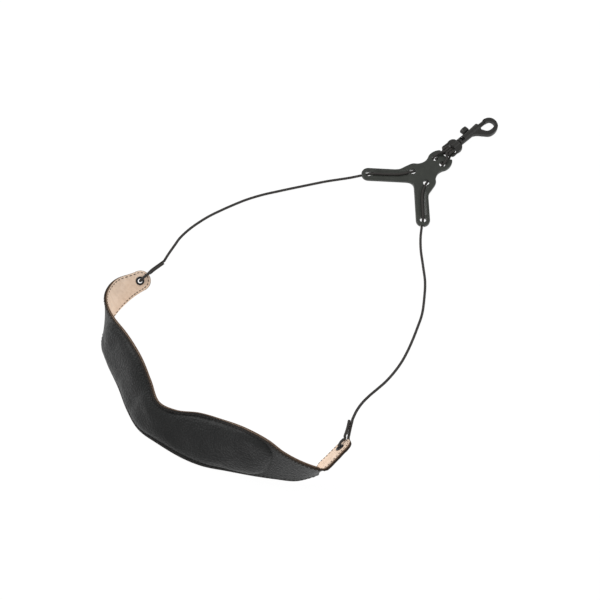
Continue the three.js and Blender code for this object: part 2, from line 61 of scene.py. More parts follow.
# Dimensions shared with the CAD model.
CORD_RADIUS = 1.2
GAP = 0.3
LEATHER = 1.25
PADDING_RISE = 5.0  # how far the padding lifts the outer leather
TAB_RADIUS = 9.5  # the rounded ends of the band
BAND_LIFT = 1.0
EYELET_HOLE_RADIUS = 3.0
YOKE_Y = 149.0  # the line through the holes at the tips of the yoke's arms
YOKE_THICKNESS = 4.0
YOKE_NOSE = 73.276  # from the arm holes to the plate's foremost points
YOKE_HOLE_RADIUS = 3.0
ARM_RADIUS = 7.0
LOOP_START_Y = 73.0  # from the arm holes to where the cord's turns round the bar start
EYE_BAR_Y = 76.2  # from the arm holes to the bar of the swivel eye
EYE_BAR_RADIUS = 1.5
HOOK_X = -1.2
HOOK_Y = 93.0  # from the arm holes to the start of the hook's shaft
HOOK_Z = 4.5
RIVET_HOLE_RADIUS = 1.6
SHAFT_RADIUS = 3.9
COLLAR_RADIUS = 4.5  # the shaft's front end, which it widens to
SHAFT_LENGTH = 28.5
BORE_RADIUS = 2.6
PLUNGER_RADIUS = 2.25
PLUNGER_TRAVEL = 6.6
STEM_RADIUS = 1.3  # of the thumb knob's stem, which slides in a slot of the shaft
KNOB_ALONG = 15.0  # the thumb knob's place along the shaft, gate closed

# This file's own: the CAD model's padding starts a little further in.
PADDING_MARGIN = 3.6  # from the band's edge to the start of the padding
PADDING_CORNER = 15.0  # the rounded corners of the padding's outline
DRAWN_SHARE = 0.86  # of the padding's height, before the cloth simulation swells the leather
SWELL_LIMITS = (-0.6, 1.4)  # how far the simulation may move the leather, in and out

# The strap's origin in the row frame: on the yoke's middle line, a known way behind its nose.
plate_low, plate_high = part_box("yoke_plate")
ORIGIN = np.array([
    (plate_low[0] + plate_high[0]) / 2,
    plate_high[1] - (YOKE_Y + YOKE_NOSE) * MM,
    plate_low[2],
])

# The band, as pairs of points on its standing edge (foot) and its upper edge (head), from the
# left tab round the nape to the right tab.
BAND_STATIONS = [
    ((-75.9, -97.8, 24.2), (-92.9, -94.4, 32.6)),
    ((-78.9, -107, 21.8), (-95.9, -103.6, 30.2)),
    ((-83, -119, 17), (-101, -121.5, 32.5)),
    ((-85.7, -132, 11), (-94.5, -136.5, 40)),
    ((-84.8, -145, 6), (-86, -146, 44)),
    ((-79.4, -158.5, 1), (-76.5, -151, 45.5)),
    ((-71.3, -168, 0), (-63, -155, 48)),
    ((-54, -176, 0), (-40, -158, 50)),
    ((-28, -184.5, 0), (-13.5, -164, 50)),
    ((-3.5, -194, 0), (6.5, -171, 43.5)),
    ((19, -199.5, 3), (25.5, -178, 38)),
    ((42, -197, 6), (40, -171, 33.5)),
    ((66, -190, 3), (56.5, -158, 34.5)),
    ((84.5, -181, 1), (77.5, -149.5, 40.5)),
    ((103.5, -167, 0), (101.5, -143.5, 51)),
    ((123, -153, 0), (124.5, -137.5, 52.5)),
    ((137, -142, 0), (140, -134.5, 49)),
    ((151.5, -130, 1), (152.5, -129, 43.5)),
    ((159, -119.5, 4.5), (164.8, -122.4, 40)),
    ((161.6, -113.4, 6.4), (169.6, -119.2, 38.8)),
    ((158.9, -109.9, 11.4), (173, -115.6, 37.3)),
    ((159.3, -99.2, 16.8), (172.3, -101, 34.6)),
    ((158.7, -87.5, 17.6), (170.8, -89.4, 32.7)),
    ((158.6, -75.7, 18), (170.3, -78.5, 32)),
]
PADDING_ENDS = (5.8, 15.5)  # the stations between which the band is padded

# The free cords, from the sewn end at each tab to the tip of the yoke's arm.
FREE_CORDS = {"left": [
    (-89.4, -74, 25.4), (-93, -66, 24), (-97.5, -55, 21.6), (-102, -44, 18.8), (-105, -31, 15.6),
    (-106.3, -17, 12.5), (-106.2, -3, 9.8), (-104.7, 10, 7.5), (-102.5, 23, 5.5),
    (-98.9, 38.5, 3.6), (-93, 54.5, 2.3), (-85.5, 69.5, 1.6), (-79.6, 80.4, 1.45),
    (-73.6, 91, 1.45), (-67.5, 101.8, 1.45), (-61.3, 112.5, 1.45), (-54.5, 123, 1.45),
    (-48, 133, 1.45), (-42.4, 142.8, 1.45),
], "right": [
    (151.2, -60.4, 26.2), (147.6, -52.2, 24.7), (144.6, -42, 22), (143, -31, 19.2),
    (142.3, -20, 16.5), (141.4, -8, 13.7), (139, 6, 10.9), (135.6, 19, 8.6), (131, 31.5, 6.6),
    (125.5, 44, 4.9), (119.4, 56.5, 3.5), (111, 72.3, 2.2), (100, 86.8, 1.6), (88.3, 100, 1.45),
    (74.3, 111.7, 1.45), (60.2, 123.2, 1.45), (50, 133.4, 1.45), (42.4, 142.8, 1.45),
]}
# The rest is in the yoke's own frame, which starts at YOKE_Y: the cord through its right half,
# the cord's tail end beside it in the nose, and the right half's holes. The left half mirrors them.
THREADED_CORD = [
    (42.2, -6, 1.45), (40.4, -3.2, 1.5), (38.8, -1, 1.9), (37, 1.1, 2.75), (34.6, 3.4, 3.3),
    (31, 6.8, 3.35), (26, 11.5, 3.35), (21, 16.4, 3.35), (16.5, 21.4, 3.35), (13.4, 26, 3.3),
    (11.6, 29.8, 3.2), (10.3, 32.6, 2.6), (9.2, 35.8, 1.7), (8.2, 39.5, 1.45), (7.2, 46, 1.45),
    (6.8, 53, 1.45), (6.5, 58.2, 1.45), (6.4, 59.8, 1.95), (6.4, 61, 3), (6.35, 62, 4.2),
    (6.3, 63.3, 5.2), (6.1, 64.8, 5.65), (5.8, 66.6, 5.8),
]
CORD_TAIL = [
    (4.1, 71.7, 1.45), (4, 69, 1.45), (3.8, 66, 1.45), (3.6, 63.8, 1.7), (3.7, 62.5, 2.6),
    (3.75, 61.8, 3.7),
]
YOKE_HOLES = [(38, 0), (9.4, 34.1), (5.1, 61.9)]


def place(points):
    """Strap frame millimetres to row frame metres."""
    return ORIGIN + np.asarray(points, float) * MM


# ---- camera

CAMERA_AIM = (19.5, 0.0, 0.0)
CAMERA_DISTANCE = 1350.0
CAMERA_AZIMUTH = math.radians(46.5)
CAMERA_ELEVATION = math.radians(60.0)
CAMERA_LENS = 85.0
CAMERA_SENSOR = 36.0


def add_camera():
    data = bpy.data.cameras.new("camera")
    data.lens = CAMERA_LENS
    data.sensor_width = CAMERA_SENSOR
    camera = bpy.data.objects.new("camera", data)
    bpy.context.scene.collection.objects.link(camera)
    looking = Vector((
        -math.sin(CAMERA_AZIMUTH) * math.cos(CAMERA_ELEVATION),
        math.cos(CAMERA_AZIMUTH) * math.cos(CAMERA_ELEVATION),
        -math.sin(CAMERA_ELEVATION),
    ))
    camera.location = Vector(place(CAMERA_AIM)) - looking * CAMERA_DISTANCE * MM
    camera.rotation_euler = looking.to_track_quat("-Z", "Y").to_euler()
    bpy.context.scene.camera = camera


add_camera()

# ---- curves and meshes


def centripetal(points, at):
    """Points on a centripetal Catmull-Rom curve; at counts points, so 1.5 is mid-segment."""
    control = np.asarray(points, float)
    control = np.vstack([2 * control[0] - control[1], control, 2 * control[-1] - control[-2]])
    at = np.clip(np.asarray(at, float), 0, len(points) - 1)
    segment = np.minimum(at.astype(int), len(points) - 2)
    part = (at - segment)[:, None]
    p0, p1, p2, p3 = (control[segment + i] for i in range(4))
    d1, d2, d3 = (
        np.linalg.norm(b - a, axis=1)[:, None] ** 0.5 for a, b in ((p0, p1), (p1, p2), (p2, p3))
    )
    m1 = ((p1 - p0) / d1 - (p2 - p0) / (d1 + d2) + (p2 - p1) / d2) * d2
    m2 = ((p2 - p1) / d2 - (p3 - p1) / (d2 + d3) + (p3 - p2) / d3) * d2
    cubic = 2 * p1 - 2 * p2 + m1 + m2
    square = -3 * p1 + 3 * p2 - 2 * m1 - m2
    return cubic * part**3 + square * part**2 + m1 * part + p1


def lengths_along(line):
    return np.concatenate([[0], np.cumsum(np.linalg.norm(np.diff(line, axis=0), axis=1))])


def even_curve(points, step):
    """The smooth curve through the points, with points about step apart."""
    samples = 40 * len(points)
    fine = centripetal(points, np.linspace(0, len(points) - 1, samples))
    run = lengths_along(fine)
    at = np.linspace(0, run[-1], max(2, int(math.ceil(run[-1] / step)) + 1))
    return np.stack([np.interp(at, run, fine[:, k]) for k in range(3)], axis=1)


def flat_curve(points, step):
    """The smooth curve through points in the plane, as (x, y) pairs."""
    return [(x, y) for x, y, _ in even_curve([(x, y, 0) for x, y in points], step)]


def full_turn(steps):
    return np.linspace(0, 2 * math.pi, steps, endpoint=False)


def unit(vectors):
    return vectors / np.maximum(np.linalg.norm(vectors, axis=-1, keepdims=True), 1e-12)


def tube_frames(line):
    """Two directions across the line at each point, carried along it without twist."""
    tangents = unit(np.gradient(line, axis=0))
    side = unit(np.cross(tangents[0], [0.3, 0.2, 1.0]))
    sides = []
    for tangent in tangents:
        side = unit(side - tangent * np.dot(side, tangent))
        sides.append(side)
    sides = np.array(sides)
    return sides, np.cross(tangents, sides)


def rings_round(line, angles):
    """Directions out from each point of a line at each of the angles, one ring for each point."""
    sides, ups = tube_frames(line)
    return np.cos(angles)[..., None] * sides[:, None] + np.sin(angles)[..., None] * ups[:, None]


def mesh_object(name, vertices, faces, smooth=True):
    """A mesh object from strap frame millimetres."""
    mesh = bpy.data.meshes.new(name)
    mesh.from_pydata(place(vertices).tolist(), [], [tuple(int(i) for i in f) for f in faces])
    mesh.validate()
    made = bpy.data.objects.new(name, mesh)
    bpy.context.scene.collection.objects.link(made)
    edited = bmesh.new()
    edited.from_mesh(mesh)
    bmesh.ops.recalc_face_normals(edited, faces=edited.faces)
    edited.to_mesh(mesh)
    edited.free()
    shade_smooth(mesh, smooth)
    return made


def ring_faces(rings, around):
    """Quads between successive rings of a tube, and a cap on each end."""
    faces = []
    for i in range(rings - 1):
        here, there = i * around, (i + 1) * around
        for k in range(around):
            after = (k + 1) % around
            faces.append((here + k, here + after, there + after, there + k))
    faces.append(tuple(range(around))[::-1])
    faces.append(tuple((rings - 1) * around + k for k in range(around)))
    return faces


def ring_mesh(name, rings):
    """A tube through rings that have the same number of points."""
    rings = np.asarray(rings)
    return mesh_object(name, rings.reshape(-1, 3), ring_faces(len(rings), rings.shape[1]))


def shade_smooth(mesh, smooth=True):
    mesh.polygons.foreach_set("use_smooth", [smooth] * len(mesh.polygons))


def apply_modifiers(made):
    evaluated = made.evaluated_get(bpy.context.evaluated_depsgraph_get())
    mesh = bpy.data.meshes.new_from_object(evaluated)
    made.modifiers.clear()
    old = made.data
    made.data = mesh
    bpy.data.meshes.remove(old)


def boolean(made, tools, operation="DIFFERENCE"):
    """Cuts or joins the tool objects, and removes them."""
    for tool in tools:
        modifier = made.modifiers.new("boolean", "BOOLEAN")
        modifier.operation = operation
        modifier.solver = "EXACT"
        modifier.object = tool
    apply_modifiers(made)
    for tool in tools:
        bpy.data.objects.remove(tool)


def rounded(made, voxel, smoothing):
    """Remeshes a part and softens its corners, as a casting's are."""
    remesh = made.modifiers.new("remesh", "REMESH")
    remesh.mode = "VOXEL"
    remesh.voxel_size = voxel * MM
    remesh.adaptivity = 0.0
    soften = made.modifiers.new("soften", "SMOOTH")
    soften.factor = 0.5
    soften.iterations = smoothing
    apply_modifiers(made)
    shade_smooth(made.data)


def shade_by_angle(made, degrees=35):
    shade_smooth(made.data)
    edited = bmesh.new()
    edited.from_mesh(made.data)
    for edge in edited.edges:
        edge.smooth = len(edge.link_faces) != 2 or edge.calc_face_angle() < math.radians(degrees)
    edited.to_mesh(made.data)
    edited.free()


def sweep(name, line, outline):
    """A closed outline of (side, up) points swept along a line, with up kept near vertical."""
    tangents = unit(np.gradient(line, axis=0))
    sides = unit(np.cross(tangents, [0, 0, 1.0]))
    ups = np.cross(sides, tangents)
    outline = np.asarray(outline, float)
    across, upwards = outline[None, :, :1], outline[None, :, 1:]
    return ring_mesh(name, line[:, None] + sides[:, None] * across + ups[:, None] * upwards)


def turned(name, profile, centre, axis, steps=64):
    """A lathe of [radius, depth] points round an axis; the profile closes on itself."""
    axis = unit(np.asarray(axis, float))
    side = unit(np.cross(axis, [0.37, 0.51, 0.77]))
    other = np.cross(axis, side)
    profile = np.asarray(profile, float)
    angles = full_turn(steps)
    around = np.cos(angles)[:, None] * side + np.sin(angles)[:, None] * other
    vertices = (
        np.asarray(centre, float)
        + around[:, None] * profile[None, :, :1]
        + axis * profile[None, :, 1:]
    )
    faces = []
    count = len(profile)
    for i in range(steps):
        for k in range(count):
            a, b = i * count, ((i + 1) % steps) * count
            faces.append((a + k, b + k, b + (k + 1) % count, a + (k + 1) % count))
    return mesh_object(name, vertices.reshape(-1, 3), faces)


def thread(name, line, radius, around=8):
    """A round strand along a line; the radius is one number, or one for each point of the line."""
    angles = full_turn(around)
    thick = np.broadcast_to(radius, len(line))[:, None, None]
    return ring_mesh(name, line[:, None] + thick * rings_round(line, angles))


def rod(name, radius, start, end, around=32):
    """A plain round bar, used as a cutter or as the start of a part."""
    return thread(name, np.linspace(start, end, 3), radius, around)


def box(name, low, high):
    """A plain block between two corners, used as a cutter."""
    (x0, y0, z0), (x1, y1, z1) = low, high
    corners = [(x0, y0), (x1, y0), (x1, y1), (x0, y1)]
    return ring_mesh(name, [[(x, y, z) for x, y in corners] for z in (z0, z1)])


# ---- materials


class Look:
    """A material in the making. Its textures are procedural, in object coordinates."""

    def __init__(self, name, colour, roughness, metallic=0.0, specular=0.5):
        self.material = bpy.data.materials.new(name)
        self.material.use_nodes = True
        self.nodes = self.material.node_tree.nodes
        self.links = self.material.node_tree.links
        self.shader = self.nodes["Principled BSDF"]
        self.set("Base Color", (*colour, 1))
        self.set("Roughness", roughness)
        self.set("Metallic", metallic)
        self.set("Specular IOR Level", specular)

    def set(self, name, value):
        """Gives the shader a constant, or another node's output."""
        socket = self.shader.inputs[name]
        if isinstance(value, bpy.types.NodeSocket):
            self.links.new(value, socket)
        else:
            socket.default_value = value

    def texture(self, kind, output, scale, stretch, settings):
        """A texture's output; scale is in cells per millimetre."""
        coordinates = self.nodes.new("ShaderNodeTexCoord")
        mapping = self.nodes.new("ShaderNodeMapping")
        mapping.inputs["Scale"].default_value = [s * scale / MM for s in stretch]
        made = self.nodes.new(kind)
        made.inputs["Scale"].default_value = 1.0
        for key, value in settings.items():
            if key in made.inputs:
                made.inputs[key].default_value = value
            else:
                setattr(made, key, value)
        self.links.new(coordinates.outputs["Object"], mapping.inputs["Vector"])
        self.links.new(mapping.outputs["Vector"], made.inputs["Vector"])
        return made.outputs[output]

    def noise(self, scale, stretch=(1, 1, 1), **settings):
        return self.texture("ShaderNodeTexNoise", "Fac", scale, stretch, settings)

    def cells(self, scale, **settings):
        return self.texture("ShaderNodeTexVoronoi", "Distance", scale, (1, 1, 1), settings)

    def ramp(self, source, *stops):
        """A change between stops, each a place from 0 to 1 and a grey or a colour."""
        made = self.nodes.new("ShaderNodeValToRGB")
        elements = made.color_ramp.elements
        while len(elements) < len(stops):
            elements.new(0.5)
        for element, (position, colour) in zip(elements, stops):
            element.position = position
            element.color = (*map(float, np.broadcast_to(colour, 3)), 1)
        self.links.new(source, made.inputs["Fac"])
        return made.outputs["Color"]

    def bumps(self, *layers):
        """Bumps over one another, each a height, its reach in millimetres and its strength."""
        normal = None
        for height, reach, strength in layers:
            made = self.nodes.new("ShaderNodeBump")
            made.inputs["Distance"].default_value = reach * MM
            made.inputs["Strength"].default_value = strength
            self.links.new(height, made.inputs["Height"])
            if normal is not None:
                self.links.new(normal, made.inputs["Normal"])
            normal = made.outputs["Normal"]
        self.set("Normal", normal)


def black_leather():
    """Soft black nappa: a small rounded pebble grain, with slow changes of tone and sheen."""
    look = Look("black_leather", (0.022, 0.0225, 0.0225), 0.5, specular=0.17)
    look.set("Coat Weight", 0.1)
    look.set("Coat Roughness", 0.3)
    pebbles = look.cells(0.52, feature="SMOOTH_F1", Smoothness=0.3)
    creases = look.noise(0.35, Detail=5.0, Roughness=0.6)
    pores = look.noise(4.0, Detail=3.0)
    clouds = look.noise(0.03, Detail=3.0)
    dark, light = (0.019, 0.0195, 0.0195), (0.0245, 0.025, 0.025)
    look.set("Base Color", look.ramp(clouds, (0.3, dark), (0.7, light)))
    look.set("Roughness", look.ramp(pebbles, (0.0, 0.36), (0.8, 0.6)))
    look.bumps((creases, 0.3, 0.5), (pebbles, -0.75, 1.0), (pores, 0.04, 0.5))
    return look.material


def tan_leather():
    """Natural lining leather: smooth, matt and a little mottled, with faint drag lines."""
    look = Look("tan_leather", (0.72, 0.53, 0.38), 0.72)
    mottle = look.noise(0.06, Detail=6.0, Roughness=0.65)
    drag = look.noise(0.35, (1, 1, 0.12), Detail=3.0)
    grain = look.cells(2.2)
    dark, middle, light = (0.78, 0.6, 0.46), (0.88, 0.69, 0.54), (0.93, 0.75, 0.6)
    tone = look.ramp(mottle, (0.25, dark), (0.5, middle), (0.8, light))
    lines = look.ramp(drag, (0.35, (0.88, 0.86, 0.84)), (0.6, 1))
    mix = look.nodes.new("ShaderNodeMixRGB")
    mix.blend_type = "MULTIPLY"
    mix.inputs["Fac"].default_value = 0.8
    look.links.new(tone, mix.inputs["Color1"])
    look.links.new(lines, mix.inputs["Color2"])
    look.set("Base Color", mix.outputs["Color"])
    look.set("Roughness", look.ramp(mottle, (0.2, 0.8), (0.8, 0.62)))
    look.bumps((grain, -0.06, 0.6), (drag, 0.06, 0.5))
    return look.material


def cord_fibre(name="cord_fibre", dark=(0.026, 0.024, 0.023), light=(0.08, 0.075, 0.07)):
    """Waxed polyester braid: fine fibres over the modelled plaits."""
    look = Look(name, dark, 0.7, specular=0.15)
    fibres = look.noise(3.0, Detail=4.0, Roughness=0.7)
    look.set("Base Color", look.ramp(fibres, (0.35, dark), (0.7, light)))
    look.set("Roughness", look.ramp(fibres, (0.3, 0.6), (0.7, 0.85)))
    look.bumps((fibres, 0.06, 0.7))
    return look.material


def gloss_plastic():
    """The yoke's moulding: polished black nylon with fine swirl marks and dust-dull patches."""
    look = Look("gloss_plastic", (0.032, 0.034, 0.031), 0.22, specular=0.3)
    smears = look.noise(0.12, Detail=5.0, Roughness=0.7)
    swirls = look.noise(1.6, (1, 0.25, 1), Detail=4.0)
    dark, light = (0.04, 0.043, 0.038), (0.053, 0.057, 0.05)
    look.set("Base Color", look.ramp(smears, (0.3, dark), (0.7, light)))
    look.set("Roughness", look.ramp(smears, (0.3, 0.2), (0.75, 0.34)))
    look.bumps((smears, 0.12, 0.4), (swirls, 0.01, 0.3))
    return look.material


def black_casting(name, colour=(0.025, 0.0245, 0.0225), roughness=0.38):
    """Die-cast zinc under black paint: slight orange peel, with lighter worn spots."""
    look = Look(name, colour, roughness, metallic=0.1, specular=0.35)
    peel = look.noise(1.1, Detail=3.0, Roughness=0.5)
    specks = look.noise(5.0, Detail=4.0)
    worn, bare = (tuple(times * c for c in colour) for times in (1.35, 2))
    look.set("Base Color", look.ramp(peel, (0.35, colour), (0.62, worn), (0.8, bare)))
    look.set("Roughness", look.ramp(specks, (0.3, roughness - 0.08), (0.7, roughness + 0.12)))
    look.bumps((peel, 0.1, 0.35), (specks, 0.02, 0.4))
    return look.material


def spring_wire():
    look = Look("spring_wire", (0.03, 0.03, 0.031), 0.5, metallic=0.3)
    drawn = look.noise(6.0, Detail=2.0)
    look.set("Roughness", look.ramp(drawn, (0.3, 0.45), (0.7, 0.6)))
    look.bumps((drawn, 0.01, 0.4))
    return look.material


def foam():
    look = Look("foam", (0.5, 0.47, 0.4), 0.9)
    cells = look.cells(1.5)
    look.set("Base Color", look.ramp(cells, (0.0, (0.35, 0.33, 0.27)), (0.6, (0.56, 0.53, 0.45))))
    look.bumps((cells, 0.2, 0.8))
    return look.material


BLACK_LEATHER = black_leather()
EDGE_PAINT = cord_fibre("edge_paint", (0.022, 0.016, 0.012), (0.06, 0.04, 0.028))
TAN_LEATHER = tan_leather()
TAN_EDGE = cord_fibre("tan_edge", (0.1, 0.06, 0.038), (0.22, 0.14, 0.09))
CORD_FIBRE = cord_fibre()
SEAM_THREAD = cord_fibre("seam_thread", (0.035, 0.03, 0.028), (0.07, 0.06, 0.055))
GLOSS_PLASTIC = gloss_plastic()
EYELET_PAINT = black_casting("eyelet_paint", (0.014, 0.014, 0.015), 0.28)
HOOK_PAINT = black_casting("hook_paint")
SPRING_WIRE = spring_wire()
FOAM = foam()


def finish_piece(made, material, body, slot, *nodes):
    """Gives a piece its material and its body, and hides the CAD nodes it stands for; slot is not
    used.
    """
    if material is not None:
        made.data.materials.clear()
        made.data.materials.append(material)
    if body is not None:
        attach(made, body)
    if nodes:
        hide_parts(*nodes)
    return made


# ---- cords


def braided_cord(name, points, step=0.4, around=24):
    """A round braid: six plaits each way, which cross and leave rows of small diamonds."""
    line = even_curve(points, step)
    angles = full_turn(around)[None, :]
    run = lengths_along(line)[:, None]
    twist = 0.6  # radians a millimetre
    plaits = np.abs(np.cos(3 * (angles + twist * run)) * np.cos(3 * (angles - twist * run)))
    radius = CORD_RADIUS * (0.96 + 0.14 * plaits)
    return ring_mesh(name, line[:, None] + radius[..., None] * rings_round(line, angles)), line


def add_free_cord(side):
    """The free cord of one side, from the sewn end at the tab to the yoke."""
    made, line = braided_cord(f"{side}_cord_free", FREE_CORDS[side])
    finish_piece(made, CORD_FIBRE, None, "cord", f"{side}_free_cord")
    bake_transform(made)


add_free_cord("left")
add_free_cord("right")

# ---- the band's surface


class Band:
    """The band as a surface: s runs along its middle from the left tip and y across it from
    the middle towards the head, both in millimetres, and depth is outwards from the neck."""

    def __init__(self):
        feet, heads = (
            np.array([station[edge] for station in BAND_STATIONS], float) + (0, 0, BAND_LIFT)
            for edge in (0, 1)
        )
        samples = 1400
        self.station = np.linspace(0, len(BAND_STATIONS) - 1, samples)
        foot, head = centripetal(feet, self.station), centripetal(heads, self.station)
        self.middle = (foot + head) / 2
        self.across = unit(head - foot)
        self.half = np.linalg.norm(head - foot, axis=1) / 2
        self.normal = unit(np.cross(np.gradient(self.middle, axis=0), self.across))
        self.s = lengths_along(self.middle)
        self.length = self.s[-1]
        self.padding = [self.at_station(i) for i in PADDING_ENDS]
        self.swell = None

    def at_station(self, station):
        return float(np.interp(station, self.station, self.s))

    def table(self, values, s):
        if values.ndim == 1:
            return np.interp(s, self.s, values)
        return np.stack([np.interp(s, self.s, values[:, k]) for k in range(3)], axis=-1)

    def half_width(self, s):
        from_tip = np.minimum(s, self.length - s)
        inward = np.clip(from_tip / TAB_RADIUS, 0, 1)
        return self.table(self.half, s) * np.sqrt(1 - (1 - inward) ** 2)

    def point(self, s, y, depth):
        s, y, depth = np.broadcast_arrays(*(np.asarray(v, float) for v in (s, y, depth)))
        return (
            self.table(self.middle, s)
            + self.table(self.across, s) * y[..., None]
            + self.table(self.normal, s) * depth[..., None]
        )

    def inside_padding(self, s, y):
        """How far a place is inside the padding's rounded outline; less than 0 outside it."""
        corner = PADDING_CORNER
        start, end = self.padding
        to_end = (end - start) / 2 - np.abs(s - (start + end) / 2)
        to_edge = self.table(self.half, s) - PADDING_MARGIN - np.abs(y)
        in_corner = (to_end < corner) & (to_edge < corner)
        from_centre = np.hypot(np.maximum(corner - to_end, 0), np.maximum(corner - to_edge, 0))
        return np.where(in_corner, corner - from_centre, np.minimum(to_end, to_edge))

    def rise(self, s, y):
        """How far the padding lifts the outer leather."""
        inside = self.inside_padding(s, y)
        slope = 13.0  # from the padding's start to its full height
        crown = (1 - (1 - np.clip(inside / slope, 0, 1)) ** 2.6) ** 0.62
        crease_at, crease_width, crease_depth = -0.6, 0.8, 0.35
        crease = np.exp(-((inside - crease_at) / crease_width) ** 2)
        lifted = PADDING_RISE * crown - crease_depth * crease
        if self.swell is not None:
            lifted = DRAWN_SHARE * lifted + self.swell_at(s, y)
        return lifted

    def swell_at(self, s, y):
        """The simulated swelling of the leather at a place, from its grid."""
        rows, columns, grid = self.swell
        i = np.clip((s - rows[0]) / (rows[1] - rows[0]), 0, len(rows) - 1.001)
        share = y / self.table(self.half, s)
        k = np.clip((share - columns[0]) / (columns[1] - columns[0]), 0, len(columns) - 1.001)
        i0, k0 = np.floor(i).astype(int), np.floor(k).astype(int)
        i0, k0, i, k = np.broadcast_arrays(i0, k0, i, k)
        di, dk = i - i0, k - k0
        return (
            grid[i0, k0] * (1 - di) * (1 - dk) + grid[i0 + 1, k0] * di * (1 - dk)
            + grid[i0, k0 + 1] * (1 - di) * dk + grid[i0 + 1, k0 + 1] * di * dk
        )


band = Band()


def stations_along(step=1.6):
    """Places along the band, closer together round its ends."""
    turn = np.radians(np.linspace(5, 90, 15))
    tip = TAB_RADIUS * (1 - np.cos(turn))
    middle = np.arange(tip[-1] + step, band.length - tip[-1] - step / 2, step)
    return np.concatenate([tip, middle, band.length - tip[::-1]])


def rounded_cut(y, start, end, edge):
    """Points that round a layer's cut edge from face to face; edge is negative at the foot."""
    corner = 0.7 * edge
    drop = math.copysign(0.3 * corner, end - start)
    return [(y + corner, start + drop), (y + edge, (start + end) / 2), (y + corner, end - drop)]


def layer(name, node, face, cut_edge, inner, outer, across_steps=44, edge=0.35):
    """One layer of the band between two depths, with rounded cut edges and eyelet holes."""
    s = stations_along()
    half = band.half_width(s)
    even = np.linspace(-1, 1, across_steps)
    spread = np.sin(even * math.pi / 2) * 0.35 + even * 0.65
    rings = []
    for place_s, width in zip(s, half):
        y = spread * max(width - edge, 0.1 * edge)
        low, high = inner(place_s, y), outer(place_s, y)
        loop = [*zip(y, high), *rounded_cut(y[-1], high[-1], low[-1], edge)]
        loop += [*zip(y[::-1], low[::-1]), *rounded_cut(y[0], low[0], high[0], -edge)]
        loop = np.array(loop)
        rings.append(band.point(place_s, loop[:, 0], loop[:, 1]))
    made = ring_mesh(name, rings)
    made.data.materials.append(face)
    made.data.materials.append(cut_edge)
    around = len(rings[0])
    head_edge = range(across_steps - 1, across_steps + 4)
    foot_edge = range(2 * across_steps + 3, around)
    edge_places = {*head_edge, *foot_edge, 0}
    for polygon in made.data.polygons:
        on_edge = {vertex % around for vertex in polygon.vertices} <= edge_places
        polygon.material_index = int(on_edge)
    boolean(made, eyelet_cutters())
    shade_by_angle(made)
    return finish_piece(made, None, "neck_pad", node, node)


def flat(depth):
    return lambda s, y: np.full_like(y, depth)


def over_padding(depth):
    return lambda s, y: depth + band.rise(s, y)


def eyelet_frame(side, station):
    """An eyelet's centre, the way out of the tab, the way to its cord, and that along the tab."""
    s = band.at_station(station)
    centre = band.point(s, 0, 0)
    outward = band.table(band.normal, s)
    pull = unit(np.asarray(FREE_CORDS[side][0], float) - centre)
    on_tab = unit(pull - outward * np.dot(pull, outward))
    return centre, outward, pull, on_tab


EYELETS = {
    "left": eyelet_frame("left", 1),
    "right": eyelet_frame("right", len(BAND_STATIONS) - 2),
}


def eyelet_cutters():
    tools = []
    for side, (centre, outward, *_) in EYELETS.items():
        through = 9 * outward  # well past both leathers
        tools.append(
            rod(f"{side}_cutter", EYELET_HOLE_RADIUS, centre - through, centre + through, 40))
    return tools


def cloth_sheet(name, points, faces, sewn):
    """A cloth blown up from inside, sewn down at some of its points."""
    sheet = mesh_object(name, points, faces)
    pins = sheet.vertex_groups.new(name="sewn")
    pins.add([int(v) for v in sewn], 1.0, "REPLACE")
    cloth = sheet.modifiers.new("cloth", "CLOTH")
    settings = {
        "vertex_group_mass": "sewn", "quality": 6, "mass": 0.25, "tension_stiffness": 12,
        "compression_stiffness": 12, "shear_stiffness": 6, "bending_stiffness": 0.6,
        "shrink_min": -0.015, "use_pressure": True, "uniform_pressure_force": 3,
    }
    for key, value in settings.items():
        setattr(cloth.settings, key, value)
    cloth.settings.effector_weights.gravity = 0
    cloth.collision_settings.use_collision = False
    return sheet


def swell_padding():
    """Blows the leather out over its foam by cloth simulation, and keeps its movement as a grid."""
    margin, sewn_within, frames, smoothing = 3, 0.3, 20, 5
    start, end = band.padding
    rows = np.linspace(start - margin, end + margin, 150)
    columns = np.linspace(-1, 1, 29)
    s, share = np.meshgrid(rows, columns, indexing="ij")
    y = share * band.table(band.half, s)
    drawn = band.point(s, y, GAP + LEATHER + DRAWN_SHARE * band.rise(s, y)).reshape(-1, 3)
    wide = len(columns)
    faces = [
        (i * wide + k, i * wide + k + 1, (i + 1) * wide + k + 1, (i + 1) * wide + k)
        for i in range(len(rows) - 1) for k in range(wide - 1)
    ]
    sewn = np.nonzero((band.inside_padding(s, y) < sewn_within).ravel())[0]
    sheet = cloth_sheet("padding_cloth", drawn, faces, sewn)
    outward = band.table(band.normal, s).reshape(-1, 3)
    if np.dot(np.array(sheet.data.polygons[0].normal), outward[0]) < 0:
        sheet.data.flip_normals()
    scene = bpy.context.scene
    for number in range(1, frames + 1):
        scene.frame_set(number)
    moved = sheet.evaluated_get(bpy.context.evaluated_depsgraph_get()).data
    coordinates = np.empty(len(moved.vertices) * 3)
    moved.vertices.foreach_get("co", coordinates)
    after = (coordinates.reshape(-1, 3) - ORIGIN) / MM
    swell = np.einsum("ij,ij->i", after - drawn, outward).reshape(len(rows), wide)
    for _ in range(smoothing):
        swell[1:-1] = (swell[:-2] + 2 * swell[1:-1] + swell[2:]) / 4
        swell[:, 1:-1] = (swell[:, :-2] + 2 * swell[:, 1:-1] + swell[:, 2:]) / 4
    band.swell = (rows, columns, np.clip(swell, *SWELL_LIMITS))
    bpy.data.objects.remove(sheet)
    scene.frame_set(1)


